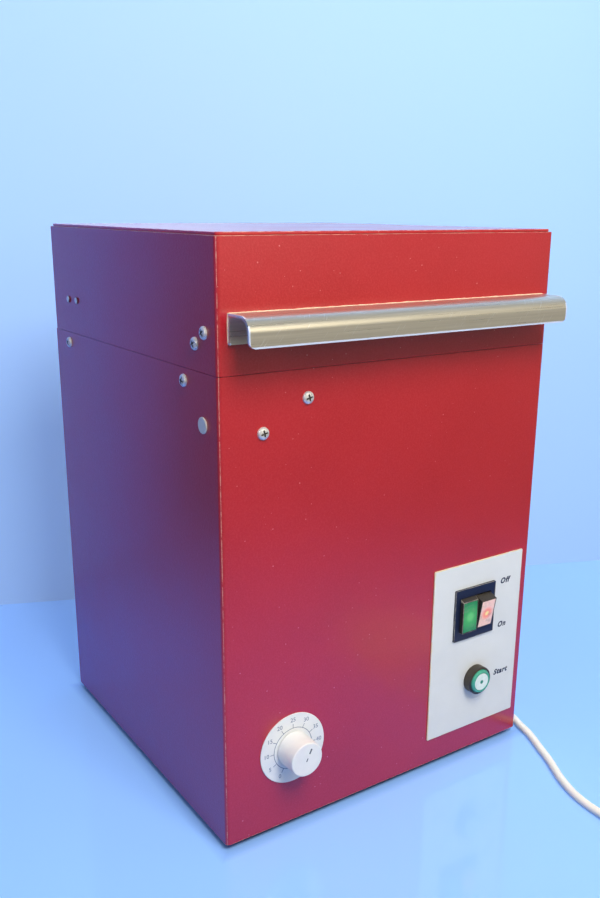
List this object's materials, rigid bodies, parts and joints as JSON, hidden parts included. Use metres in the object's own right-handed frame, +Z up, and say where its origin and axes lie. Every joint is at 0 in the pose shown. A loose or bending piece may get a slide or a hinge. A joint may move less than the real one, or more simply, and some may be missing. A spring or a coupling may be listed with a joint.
{
  "type": "dry block heater",
  "caption": "Tall crimson sheet-steel bench heater with a deep hinged lid, full-width metal pull, dial, lamp, rocker switch and start button; tube wells under the lid.",
  "frame": {"origin": "on the floor under the middle of the box around cabinet, pull and gland, without the cord", "axes": "+X to the right seen from the front, +Y to the back, +Z up; the front faces -Y"},
  "size_m": [0.3482, 0.5699, 0.407],
  "materials": {
    "red_paint": "semi-gloss crimson paint",
    "galvanised_steel": "plain zinc-plated sheet",
    "white_paint": "white enamelled sheet",
    "zinc_screw": "bright zinc plating",
    "black_rubber": "matt",
    "grey_rubber": "matt silicone",
    "block_aluminium": "machined",
    "pull_aluminium": "satin, handled",
    "ceramic_wool": "matt wool",
    "ceramic": "matt",
    "white_fluoroplastic": "matt",
    "heater_sheath": "heat-tinted",
    "copper_tube": "dull copper",
    "brown_phenolic": "matt",
    "white_plastic": "semi-gloss",
    "plate_grey": "satin pale grey",
    "black_plastic": "satin black",
    "green_lens": "clear green",
    "red_lens": "clear pale red",
    "pale_ceramic_strip": "matt",
    "wire_insulation": "matt",
    "white_cord": "satin PVC",
    "pin_brass": "nickel-plated"
  },
  "bodies": {
    "cabinet": {"cabinet_wrap": "red_paint", "rear_panel": "red_paint", "base_plate": "galvanised_steel", "case_screws": "zinc_screw", "feet": "black_rubber", "top_deck": "white_paint", "block_housing": "galvanised_steel", "block_insulation": "ceramic_wool", "block_supports": "ceramic", "heater_plate": "block_aluminium", "heating_block": "block_aluminium", "block_trim": "white_fluoroplastic", "cartridge_heaters": "heater_sheath", "sensing_bulb": "copper_tube", "overheat_cutout": "brown_phenolic", "thermostat": "galvanised_steel", "thermostat_screws": "zinc_screw", "dial_plate": "white_plastic", "control_plate": "plate_grey", "switch_housing": "black_plastic", "pilot_lens": "green_lens", "button_bezel": "black_plastic", "button_nut": "zinc_screw", "relay": "black_plastic", "terminal_block": "pale_ceramic_strip", "wiring_harness": "wire_insulation", "latch_bracket": "galvanised_steel", "latch_solenoid": "black_plastic", "hole_plug": "zinc_screw", "hinge_body_leaf": "zinc_screw", "hinge_pin": "zinc_screw", "hinge_body_screws": "zinc_screw", "cord_gland": "black_plastic", "gland_nut": "black_plastic", "cord_run": "white_cord", "cord_coil": "white_cord", "cord_tie": "white_cord", "mains_plug": "white_cord", "plug_pins": "pin_brass"},
    "lid": {"lid_wrap": "red_paint", "lid_top": "red_paint", "lid_liner": "white_paint", "lid_insulation": "ceramic_wool", "lid_gasket": "grey_rubber", "lid_handle": "pull_aluminium", "handle_screws": "zinc_screw", "hinge_lid_leaf": "zinc_screw", "hinge_lid_screws": "zinc_screw", "lid_stay": "galvanised_steel", "stay_rivets": "zinc_screw", "catch_hook": "galvanised_steel", "catch_screws": "zinc_screw"},
    "rocker": {"rocker": "black_plastic", "rocker_lens": "red_lens"},
    "start_button": {"button_cap": "green_lens", "button_disc": "white_plastic"},
    "control_knob": {"knob": "white_plastic", "thermostat_shaft": "zinc_screw"},
    "latch_bolt": {"latch_bolt": "zinc_screw"}
  },
  "joints": [
    {"name": "lid_hinge", "type": "hinge", "parent": "cabinet", "child": "lid", "pos_m": [0, 0.1365, 0.3253], "axis": [-1, 0, 0], "range_deg": [0, 70]},
    {"name": "rocker_tilt", "type": "hinge", "parent": "cabinet", "child": "rocker", "pos_m": [0.08825, -0.1377, 0.1244], "axis": [-1, 0, 0], "range_deg": [0, 20]},
    {"name": "start_press", "type": "slide", "parent": "cabinet", "child": "start_button", "axis": [0, 1, 0], "range_m": [0, 0.0025], "stiffness_N_per_m": 600, "springref_m": -0.002},
    {"name": "knob_turn", "type": "hinge", "parent": "cabinet", "child": "control_knob", "pos_m": [-0.085, -0.139, 0.063], "axis": [0, 1, 0], "range_deg": [-180, 120]},
    {"name": "bolt_slide", "type": "slide", "parent": "cabinet", "child": "latch_bolt", "axis": [-1, 0, 0], "range_m": [0, 0.0065]}
  ]
}
